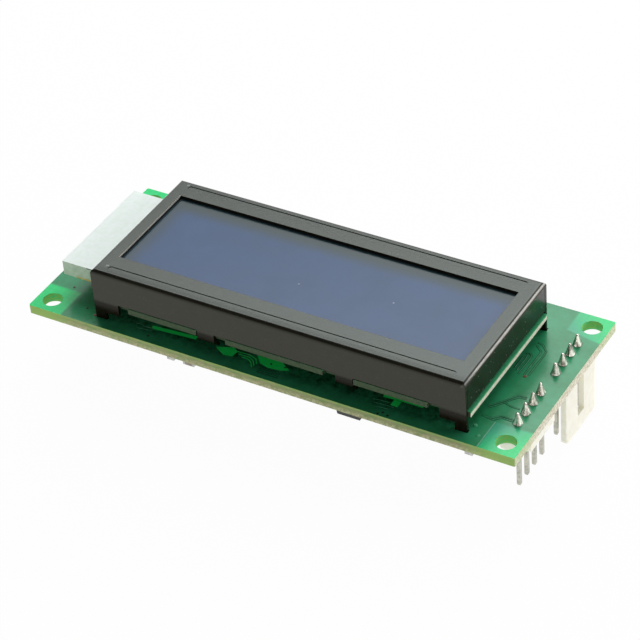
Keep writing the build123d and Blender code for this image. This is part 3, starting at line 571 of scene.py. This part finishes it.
# the front face is painted greyer and greener, painted shade with the board's green reflection, and a painted
# shadow line runs where the film above ends
front_painted_shade = add(tree, "Mix", {0: patches_spread, 6: "#A6BEA2", 7: "#BED2BC"}, colours)
film_edge = add(tree, "Math", {0: at["Z"], 1: 5.86}, greater)
film_span = add(tree, "Math", {0: at["X"], 1: -34.8}, greater)
film_painted_shadow = add(tree, "Math", {0: film_edge, 1: film_span}, times)
front_shade_and_shadow = add(tree, "Mix", {0: film_painted_shadow, 6: front_painted_shade, 7: "#2C322A"}, colours)
tone = add(tree, "Mix", {0: to_front, 6: top_tone, 7: front_shade_and_shadow}, colours)
bump = add(tree, "Bump", {"Strength": 1.0, "Distance": 0.004 * mm, "Height": patches_noise})
close(tree, {"Base Color": tone, "Roughness": 0.38, "IOR": 1.58, "Normal": bump})
dress("backlight_housing", white_moulding)
# Thin yellow-brown laminate with a matt white mask.
dress("backlight_led_board", mottled("led_board_laminate", "#B8A44C", "#CCBA6C", 0.8, 0.006, 0.55, {
    "IOR": 1.5}))
# Side-emitting LEDs: white ceramic-filled plastic with a yellowish phosphor tint.
dress("backlight_leds", mottled("led_plastic", "#E6E2C6", "#EFEBD2", 0.6, 0.003, 0.35, {"IOR": 1.54}))
# Clear acrylic guide that carries the light sideways.
dress("light_guide", mottled("clear_acrylic_guide", "#D8E0E2", "#E6ECEE", 1.0, 0.003, 0.08, {
    "IOR": 1.49, "Transmission Weight": 0.6}))
# Frosted polyester.
dress("diffuser_film", mottled("frosted_polyester_film", "#E4E7E8", "#EEF0F0", 0.7, 0.004, 0.6, {
    "IOR": 1.57}))
# White, with a mirror back.
dress("reflector_film", mottled("white_reflector_film", "#EDEDEB", "#F4F4F2", 1.5, 0.002, 0.3, {"IOR": 1.6}))

# Liquid crystal cell
# Two sheets of glass with a polariser stuck to each side. Unlit, the active area is a deep blue that
# fades to dark grey at its border, seen through the satin anti-glare film of the front polariser.
active_low = (-28.39, -11.5)
active_high = (31.6, 4.57)
polariser_finish, tree, point = begin("anti_glare_polariser")
at = add(tree, "SeparateXYZ", {"Vector": point}).outputs
left_fade = add(tree, "MapRange", {
    "Value": at["X"], "From Min": active_low[0] - 1.0, "From Max": active_low[0] + 3.2}, soft_step)
right_fade = add(tree, "MapRange", {
    "Value": at["X"], "From Min": active_high[0] + 0.5, "From Max": active_high[0] - 0.7}, soft_step)
front_fade = add(tree, "MapRange", {
    "Value": at["Y"], "From Min": active_low[1] - 0.25, "From Max": active_low[1] + 0.45}, soft_step)
back_fade = add(tree, "MapRange", {
    "Value": at["Y"], "From Min": active_high[1] + 1.7, "From Max": active_high[1] - 1.3}, soft_step)
active = left_fade
for share in (right_fade, front_fade, back_fade):
    active = add(tree, "Math", {0: active, 1: share}, times)
cloud = add(tree, "TexNoise", {"Vector": point, "Scale": 0.12, "Detail": 3.0})
cloud_spread = add(tree, "MapRange", {"Value": cloud, **contrast})
blue = add(tree, "Mix", {0: cloud_spread, 6: "#224066", 7: "#26446E"}, colours)
picture = add(tree, "Mix", {0: active, 6: "#24363C", 7: blue}, colours)
# two specks of dust on the film
film_top = 8.55
distance = {"operation": "DISTANCE"}
dust_places = ((-0.3, -4.05, film_top), (15.19, -2.09, film_top))
away = [add(tree, "VectorMath", {0: point, 1: place}, distance).outputs["Value"] for place in dust_places]
dust_near = add(tree, "Math", {0: away[0], 1: away[1]}, smallest)
dust = add(tree, "MapRange", {"Value": dust_near, "From Min": 0.2, "From Max": 0.08, "To Max": 0.35})
tone = add(tree, "Mix", {0: dust, 6: picture, 7: "#C8D2D8"}, colours)
close(tree, {
    "Base Color": tone, "Roughness": 0.2, "IOR": 1.5, "Specular IOR Level": 0.325,
    "Specular Tint": (0.93, 1.0, 0.99, 1.0)})
dress("front_polariser", polariser_finish)
# Float glass, greyed by the layers under it, with the faint green of its edges.
dress("rear_glass", mottled("float_glass_rear", "#6E8078", "#7C8E86", 4.0, 0.002, 0.08, {"IOR": 1.52}))
dress("front_glass", mottled("float_glass_front", "#7A8C84", "#889A92", 4.0, 0.002, 0.06, {"IOR": 1.52}))
# The rear polariser is the same film with a dull underside.
dress("rear_polariser", mottled("rear_polariser_film", "#3A4250", "#444C5A", 3.0, 0.002, 0.4, {"IOR": 1.5}))
# Conductive rubber, grey with fine dark grains.
dress("contact_strips", mottled("conductive_rubber", "#4A4C50", "#6A6C70", 0.4, 0.004, 0.7, {"IOR": 1.45}))

# Bezel
# Folded 0.5 mm steel with a baked black coat: two stiffening grooves pressed beside the window, legs that
# reach into the main board, and tabs that grip the display board. The coat is thin on cut edges and bends,
# and a painted highlight lies along the right-hand bend and the window's left edge.
bezel_top = 9.1
bend_line, bend_reach = 25.0, 0.75
window_left = -29.05
window_middle_y, window_half_y = -1.45, 9.05
groove_middle_y, groove_away, groove_half = -1.8, 11.75, 0.7
bezel_finish, tree, point = begin("baked_black_coat_on_steel")
tone_noise = add(tree, "TexNoise", {"Vector": point, "Scale": 0.6, "Detail": 7.0, "Roughness": 0.7})
tone_spread = add(tree, "MapRange", {"Value": tone_noise, **contrast})
coat = add(tree, "Mix", {0: tone_spread, 6: "#15110A", 7: "#1D1910"}, colours)
# dust and pinholes a fifth of a millimetre wide, thickest on the right-hand wall
specks = add(tree, "TexVoronoi", {"Vector": point, "Scale": 1.2, "Randomness": 1.0}, {"feature": "F1"})
speck_all = add(tree, "MapRange", {"Value": specks.outputs["Distance"], "From Min": 0.15, "From Max": 0.09})
at, facing = sense(tree, point)
dusty = add(tree, "MapRange", {
    "Value": facing["X"], "From Min": 0.5, "From Max": 0.9, "To Min": 0.07, "To Max": 0.6})
speck = add(tree, "Math", {0: speck_all, 1: dusty}, times)
coat_specked = add(tree, "Mix", {0: speck, 6: coat, 7: "#8E8C86"}, colours)
# painted light along the bend at the right end and on the window's left sheared edge: worn coat and painted
# highlight
across_bend = add(tree, "Math", {0: at["X"], 1: at["Z"]}, {"operation": "SUBTRACT"})
bend_in = add(tree, "MapRange", {
    "Value": across_bend, "From Min": bend_line - 0.28, "From Max": bend_line - 0.14})
bend_out = add(tree, "MapRange", {
    "Value": across_bend, "From Min": bend_line + 0.4, "From Max": bend_line + 0.26})
bend_up = add(tree, "Math", {0: at["Z"], 1: bezel_top - bend_reach}, greater)
bend_end = add(tree, "Math", {0: at["X"], 1: bend_line + bezel_top - bend_reach}, greater)
bend_fade = add(tree, "MapRange", {"Value": at["Y"], "From Min": -14.6, "From Max": -11.0, "To Min": 0.15})
on_bend = bend_in
for share in (bend_out, bend_up, bend_end, bend_fade):
    on_bend = add(tree, "Math", {0: on_bend, 1: share}, times)
rim_in = add(tree, "Math", {0: at["X"], 1: window_left + 0.03}, less)
rim_out = add(tree, "Math", {0: at["X"], 1: window_left - 0.05}, greater)
rim_up = add(tree, "Math", {0: at["Z"], 1: bezel_top - 0.22}, greater)
rim_y = add(tree, "Math", {0: at["Y"], 1: window_middle_y, 2: window_half_y}, within)
on_rim = rim_in
for share in (rim_out, rim_up, rim_y):
    on_rim = add(tree, "Math", {0: on_rim, 1: share}, times)
wear_and_highlight = add(tree, "Math", {0: on_bend, 1: on_rim}, largest)
patchy = add(tree, "MapRange", {
    "Value": tone_noise, "From Min": 0.3, "From Max": 0.6, "To Min": 0.55, "To Max": 0.9})
wear_highlight_share = add(tree, "Math", {0: wear_and_highlight, 1: patchy}, times)
coat_wear_and_highlight = add(tree, "Mix", {0: wear_highlight_share, 6: coat_specked, 7: "#B0AAA2"}, colours)
# a painted highlight at the left end of each groove, on the end wall that faces the right-hand light
groove_end_highlight_places = ((-29.51, -13.09, bezel_top), (-29.42, 10.52, bezel_top))
away = [add(tree, "VectorMath", {0: point, 1: place}, distance).outputs["Value"] for place in groove_end_highlight_places]
groove_end_highlight_near = add(tree, "Math", {0: away[0], 1: away[1]}, smallest)
groove_end_highlight = add(tree, "MapRange", {"Value": groove_end_highlight_near, "From Min": 0.32, "From Max": 0.1, "To Max": 0.4})
coat_groove_end_highlighted = add(tree, "Mix", {0: groove_end_highlight, 6: coat_wear_and_highlight, 7: "#A8ACA8"}, colours)
# the steep flanks of the grooves are painted a lighter grey
on_flank = add(tree, "Math", {0: at["Z"], 1: bezel_top - 0.06, 2: 0.055}, within)
steep = add(tree, "Math", {0: facing["Z"], 1: 0.5}, less)
from_middle = add(tree, "Math", {0: at["Y"], 1: groove_middle_y}, {"operation": "SUBTRACT"})
how_far = add(tree, "Math", {0: from_middle}, unsigned)
in_groove = add(tree, "Math", {0: how_far, 1: groove_away, 2: groove_half}, within)
flank = on_flank
for share in (steep, in_groove):
    flank = add(tree, "Math", {0: flank, 1: share}, times)
coat_with_grey_flanks = add(tree, "Mix", {0: flank, 6: coat_groove_end_highlighted, 7: "#4C504E"}, colours)
peel = add(tree, "TexNoise", {"Vector": point, "Scale": 4.5, "Detail": 4.0, "Roughness": 0.6})
rounded = add(tree, "Bevel", {"Radius": 0.05 * mm}, {"samples": 8})
ripple = add(tree, "Bump", {"Strength": 1.0, "Distance": 0.012 * mm, "Height": peel, "Normal": rounded})
gloss = add(tree, "MapRange", {
    "Value": tone_noise, "From Min": 0.3, "From Max": 0.7, "To Min": 0.15, "To Max": 0.21})
# below the display board the legs reflect less, a painted shade, and the coat is flatter by the front bend
legs_painted_shade = add(tree, "MapRange", {
    "Value": at["Z"], "From Min": 3.0, "From Max": 3.5, "To Min": 0.15, "To Max": 0.5})
by_bend = add(tree, "MapRange", {"Value": at["Y"], "From Min": -13.2, "From Max": -14.4, "To Max": 0.14})
on_top = add(tree, "Math", {0: at["Z"], 1: bezel_top - 0.2}, greater)
dull_top = add(tree, "Math", {0: by_bend, 1: on_top}, times)
shine = add(tree, "Math", {0: legs_painted_shade, 1: dull_top}, {"operation": "SUBTRACT"})
# faces turned to the front get a darker, warmer reflection and those turned to the right a much darker one:
# painted shade of the reflections
to_front = add(tree, "MapRange", {"Value": facing["Y"], "From Min": -0.6, "From Max": -0.95})
painted_reflection_shade = add(tree, "Mix", {0: to_front, 6: (0.83, 1.0, 0.94, 1.0), 7: (0.79, 0.82, 0.66, 1.0)}, colours)
to_right = add(tree, "MapRange", {"Value": facing["X"], "From Min": 0.6, "From Max": 0.95})
painted_reflection_shade_all = add(tree, "Mix", {0: to_right, 6: painted_reflection_shade, 7: (0.42, 0.44, 0.4, 1.0)}, colours)
close(tree, {
    "Base Color": coat_with_grey_flanks, "Roughness": gloss, "IOR": 1.5, "Specular IOR Level": shine,
    "Specular Tint": painted_reflection_shade_all, "Normal": ripple})
dress("bezel", bezel_finish)

# Serial header
# Four square tin-plated pins moulded into an ivory nylon base that sits under the board. The pins come
# through the board's holes and are soldered on top.
# Unfilled nylon: ivory and slightly see-through, so that light wanders in it, and a faint painted glow keeps
# its shaded side pale.
ivory_nylon_with_glow = {
    "IOR": 1.53, "Emission Color": "#E8E6DA", "Emission Strength": 0.14, "Subsurface Weight": 0.6,
    "Subsurface Radius": (1.0, 0.9, 0.7), "Subsurface Scale": 0.0012}
dress("serial_header_base", mottled("ivory_nylon_base", "#DDDACC", "#E4E2D6", 1.4, 0.004, 0.42, ivory_nylon_with_glow))
# Bright tin plate, a little dulled by handling.
pin_tin = mottled("tin_plate_pins", "#A8A89C", "#CCCBBE", 0.7, 0.005, 0.3, {"Metallic": 1.0})
pin_half = 0.32
pin_stations = [
    (-12.1, 0.2), (-12.06, 0.25), (-11.97, 0.29), (-11.8, pin_half), (0.3, pin_half), (0.9, 0.24),
    (1.5, 0.16), (1.88, 0.12)]


def square_pin(place):
    """A square pin with its corners cut by 0.05 mm, blunt below and drawn to a narrow tip above: at each
    station (z, h) the ring is place + h * eight points of the cut square."""
    z, h = np.array(pin_stations).T
    cut = np.array(
        [(1, -0.84), (1, 0.84), (0.84, 1), (-0.84, 1), (-1, 0.84), (-1, -0.84), (-0.84, -1), (0.84, -1)])
    rings = np.zeros((len(z), 8, 3))
    rings[:, :, :2] = np.asarray(place) + h[:, None, None] * cut
    rings[:, :, 2] = z[:, None]
    return skin_of(rings)


pin_row_x = 39.9
serial_pins = [(pin_row_x, -pitch * k) for k in (1, 2, 3, 4)]
pins = [square_pin(place) for place in serial_pins]
build("serial_pins_drawn", pins, pin_tin, replaced=("serial_header_pins",))

# Power header
# An ivory nylon housing with a tall friction wall, slotted and with a ramp, round four square pins.
# It was moulded from the same nylon as the serial header's base.
dress("power_header_housing", mottled(
    "ivory_nylon_friction_wall", "#DCD9CA", "#E3E1D5", 1.4, 0.004, 0.42, ivory_nylon_with_glow))
power_pins = [(pin_row_x, pitch * k) for k in (1, 2, 3, 4)]
pins = [square_pin(place) for place in power_pins]
build("power_pins_drawn", pins, pin_tin, replaced=("power_header_pins",))

# Solder joints
# Hand-soldered cones that drape from the tip of each pin down to its pad, smooth and bright, with a few
# soft folds between the pin's corners.
cone_height = 1.93
cone_tip, cone_side, cone_skirt = 0.19, 0.55, 0.06
tip_starts = 0.94


def drape(centre, seed):
    """A draped cone: at height share t and angle a, r = cone_tip, rounded off above tip_starts, + cone_side
    (1 - t) ** 1.05, with four folds between the pin's corners and slow lobes, + cone_skirt (1 - t) ** 6 at
    the pad; z = cone_height * t."""
    dice = np.random.default_rng(seed)
    t = np.concatenate([np.linspace(0, tip_starts, 24), [0.96, 0.98, 0.992, 1.0]])[:, None]
    a = np.linspace(0, 2 * np.pi, 72, endpoint=False)[None, :]
    cap = np.sqrt(np.clip(1 - ((t - tip_starts) / (1 - tip_starts)).clip(0, 1) ** 2, 0, 1))
    ridge = np.abs(np.cos(2 * (a - np.pi / 4 + dice.uniform(-0.2, 0.2)))) ** 1.5 - 0.5
    lobes = np.cos(3 * a + dice.uniform(0, 6)) * 0.05 + np.cos(5 * a + dice.uniform(0, 6)) * 0.03
    side = cone_side * (1 - t) ** 1.05 * (1 + 0.2 * ridge + lobes)
    radius = np.maximum(cone_tip * cap + side + cone_skirt * (1 - t) ** 6, 0.004)
    rings = np.zeros(radius.shape + (3,))
    rings[:, :, 0] = centre[0] + radius * np.cos(a)
    rings[:, :, 1] = centre[1] + radius * np.sin(a)
    rings[:, :, 2] = cone_height * t
    return skin_of(rings)


# Hand solder: bright tin with dull, darker streaks running down it.
solder_finish, tree, point = begin("bright_hand_solder")
streaks_at = add(tree, "Mapping", {"Vector": point, "Scale": (1.7, 1.7, 0.45)})
streaks = add(tree, "TexNoise", {"Vector": streaks_at, "Scale": 1.0, "Detail": 5.0, "Roughness": 0.65})
streaks_spread = add(tree, "MapRange", {"Value": streaks, "From Min": 0.38, "From Max": 0.6})
tone = add(tree, "Mix", {0: streaks_spread, 6: "#8C867A", 7: "#FCF8EE"}, colours)
ripple = add(tree, "Bump", {"Strength": 1.0, "Distance": 0.009 * mm, "Height": streaks})
close(tree, {"Base Color": tone, "Metallic": 0.95, "Roughness": 0.22, "Normal": ripple})
joints = [drape(place, 11 + i) for i, place in enumerate(serial_pins + power_pins)]
build("draped_solder", joints, solder_finish, smooth=True, replaced=("solder_joints",))

# Chips and small parts of the underside
# Surface-mounted parts in plain black moulding compound with tinned leads, a crystal in a pressed can,
# Surface-mounted parts with tinned leads or ends, soldered under the board: chips in black compound, a
# crystal in a pressed can, yellow tantalum capacitors, and small ceramic chips.
# Moulding compound: black epoxy full of fine glass, dull and faintly speckled.
dress(
    "controller_chip", mottled("moulding_compound_controller", "#17181A", "#222427", 0.9, 0.01, 0.55, epoxy))
dress("serial_chip", mottled("moulding_compound_serial_chip", "#18191B", "#232427", 0.8, 0.01, 0.55, epoxy))
dress(
    "voltage_regulator", mottled("moulding_compound_regulator", "#151517", "#202123", 0.8, 0.01, 0.52, epoxy))
dress("protection_diode", mottled("moulding_compound_diode", "#1A1A1C", "#262628", 0.8, 0.008, 0.5, epoxy))
# Matt tin on every lead, terminal and end cap.
lead_tin = mottled("matt_tin_leads", "#A6A7A4", "#C6C6C0", 0.5, 0.004, 0.38, {"Metallic": 1.0})
for node in sorted(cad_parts):
    if node.endswith(("_leads", "_terminals", "_ends")):
        dress(node, lead_tin)
# Nickel-plated can of the crystal: drawn steel with a soft shine.
dress("crystal_can", mottled("nickel_plated_can", "#B6B2A6", "#CBC7BA", 1.6, 0.004, 0.26, {"Metallic": 1.0}))
# The plate the can stands on: black moulded plastic.
dress("crystal_base", mottled("crystal_base_plastic", "#151618", "#1F2022", 0.9, 0.006, 0.5, {"IOR": 1.54}))
# Yellow moulded cases, tan ceramic, and black glass over the resistors.
dress("tantalum_capacitors", mottled("moulded_tantalum_yellow", "#C98F22", "#DBA63A", 1.2, 0.008, 0.45, {
    "IOR": 1.54}))
dress("ceramic_capacitors", mottled("capacitor_ceramic_tan", "#8E8274", "#A49888", 0.5, 0.006, 0.5, {
    "IOR": 1.6}))
dress("chip_resistors", mottled("resistor_glass_black", "#101114", "#1A1C20", 0.5, 0.004, 0.3, {"IOR": 1.5}))

# Floor and studio
# A plain white table at the depth of the lowest wall, one broad softbox behind and above the object, a
# low strip on the right, and a white surround. The table shows white and keeps a faint shadow.
floor_z = cad_box[0][2]
floor_half = 3.0
corners = [(x * floor_half, y * floor_half, floor_z) for x, y in ((-1, -1), (1, -1), (1, 1), (-1, 1))]
floor_mesh = bpy.data.meshes.new("floor")
floor_mesh.from_pydata(corners, [], [[0, 1, 2, 3]])
floor = bpy.data.objects.new("floor", floor_mesh)
scene.collection.objects.link(floor)
floor_finish = bpy.data.materials.new("white_table")
floor_finish.use_nodes = True
tree = floor_finish.node_tree
tree.nodes.clear()
path = add(tree, "LightPath")
seen_a = add(tree, "Math", {0: path.outputs["Is Camera Ray"], 1: path.outputs["Is Glossy Ray"]}, largest)
seen = add(tree, "Math", {0: seen_a, 1: path.outputs["Is Transmission Ray"]}, largest)
share = add(tree, "MapRange", {"Value": seen, "To Min": 0.8, "To Max": 0.97})
paper = add(tree, "BsdfDiffuse", {"Color": (0.86, 0.86, 0.86, 1.0)})
lit = add(tree, "MapRange", {"Value": seen, "To Min": 1.1, "To Max": 1.0})
white = add(tree, "Emission", {"Color": "#FFFFFF", "Strength": lit})
table = add(tree, "MixShader", {0: share, 1: paper, 2: white})
# from below the table is clear, so that the underside can be looked at
from_below = add(tree, "NewGeometry").outputs["Backfacing"]
clear = add(tree, "BsdfTransparent")
both = add(tree, "MixShader", {0: from_below, 1: table, 2: clear})
add(tree, "OutputMaterial", {"Surface": both})
floor_mesh.materials.append(floor_finish)

world = bpy.data.worlds.new("white_surround")
scene.world = world
world.use_nodes = True
tree = world.node_tree
tree.nodes.clear()
path = add(tree, "LightPath")
seen = add(tree, "Math", {0: path.outputs["Is Camera Ray"], 1: path.outputs["Is Transmission Ray"]}, largest)
# heading is the way that a ray leaves the scene
heading = add(tree, "SeparateXYZ", {"Vector": add(tree, "TexCoord").outputs["Generated"]}).outputs
# the walls are bright low down and the ceiling is dim; mirrored, a tall soft panel stands behind the
# object that brightens upwards and ends on the right, and the front of the room is dark above the horizon
low = add(tree, "MapRange", {
    "Value": heading["Z"], "From Min": 0.05, "From Max": 0.6, "To Min": 0.9, "To Max": 0.14}, soft_step)
across_panel = add(tree, "Math", {0: heading["X"], 1: 0.16, 2: heading["Z"]}, {"operation": "MULTIPLY_ADD"})
panel = add(tree, "MapRange", {
    "Value": across_panel, "From Min": 0.483, "From Max": 0.605, "To Min": 1.27, "To Max": 5.1}, soft_step)
panel_end = add(tree, "MapRange", {"Value": heading["X"], "From Min": -0.2, "From Max": 0.2}, soft_step)
panel_and_wall = add(tree, "Mix", {0: panel_end, 2: panel, 3: 1.0})
behind = add(tree, "MapRange", {"Value": heading["Y"], "From Min": 0.12, "From Max": 0.5}, soft_step)
front = add(tree, "MapRange", {
    "Value": heading["Z"], "From Min": 0.15, "From Max": 0.45, "To Min": 0.8, "To Max": 0.12}, soft_step)
room = add(tree, "Mix", {0: behind, 2: front, 3: panel_and_wall})
mirror = add(tree, "Mix", {0: path.outputs["Is Glossy Ray"], 2: low, 3: room})
strength = add(tree, "Mix", {0: seen, 2: mirror, 3: 1.0})
surround = add(tree, "Background", {"Color": "#FFFFFF", "Strength": strength})
add(tree, "OutputWorld", {"Surface": surround})


def softbox(name, heading, distance, size, radiance, mirrored):
    """A rectangular lamp at heading * distance that faces the origin; its power is pi * area * radiance.
    One that isn't mirrored lights surfaces without a highlight."""
    lamp = bpy.data.lights.new(name, "AREA")
    lamp.shape = "RECTANGLE"
    lamp.size, lamp.size_y = size
    lamp.energy = np.pi * size[0] * size[1] * radiance
    holder = bpy.data.objects.new(name, lamp)
    holder.location = Vector(heading).normalized() * distance
    holder.rotation_euler = Vector(heading).to_track_quat("Z", "Y").to_euler()
    holder.visible_glossy = mirrored
    scene.collection.objects.link(holder)


softbox("key_softbox", (-0.14, 0.66, 0.7), 0.7, (0.62, 0.82), 3.4, False)
softbox("right_strip", (0.75, 0.5, 0.3), 0.7, (0.4, 0.2), 7.0, True)

# Camera
# Where the picture was taken from: azimuth 32.87, elevation 38.18, a small roll, and 398 mm away
# through a long lens, solved from the board's corners, holes and the bezel's edges.
azimuth, elevation, roll = np.radians((32.8691749, 38.1759546, -4.9392653))
back = np.array(
    (np.sin(azimuth) * np.cos(elevation), -np.cos(azimuth) * np.cos(elevation), np.sin(elevation)))
level_x = np.cross((0.0, 0.0, 1.0), back)
level_x /= np.linalg.norm(level_x)
level_y = np.cross(back, level_x)
right = np.cos(roll) * level_x + np.sin(roll) * level_y
up = -np.sin(roll) * level_x + np.cos(roll) * level_y
eye = (0.3965130 * right - 1.0427381 * up + 397.8502332 * back) * mm
focal_pixels, picture_pixels, sensor = 2544.9767966, 640, 36.0
lens = bpy.data.cameras.new("camera")
lens.sensor_width = sensor
lens.lens = focal_pixels / picture_pixels * sensor
lens.clip_start = 0.01
lens.clip_end = 20.0
camera = bpy.data.objects.new("camera", lens)
camera.matrix_world = Matrix(
    [[*row, place] for row, place in zip(np.column_stack([right, up, back]), eye)] + [[0, 0, 0, 1]])
scene.collection.objects.link(camera)
scene.camera = camera
scene.view_settings.view_transform = "Standard"
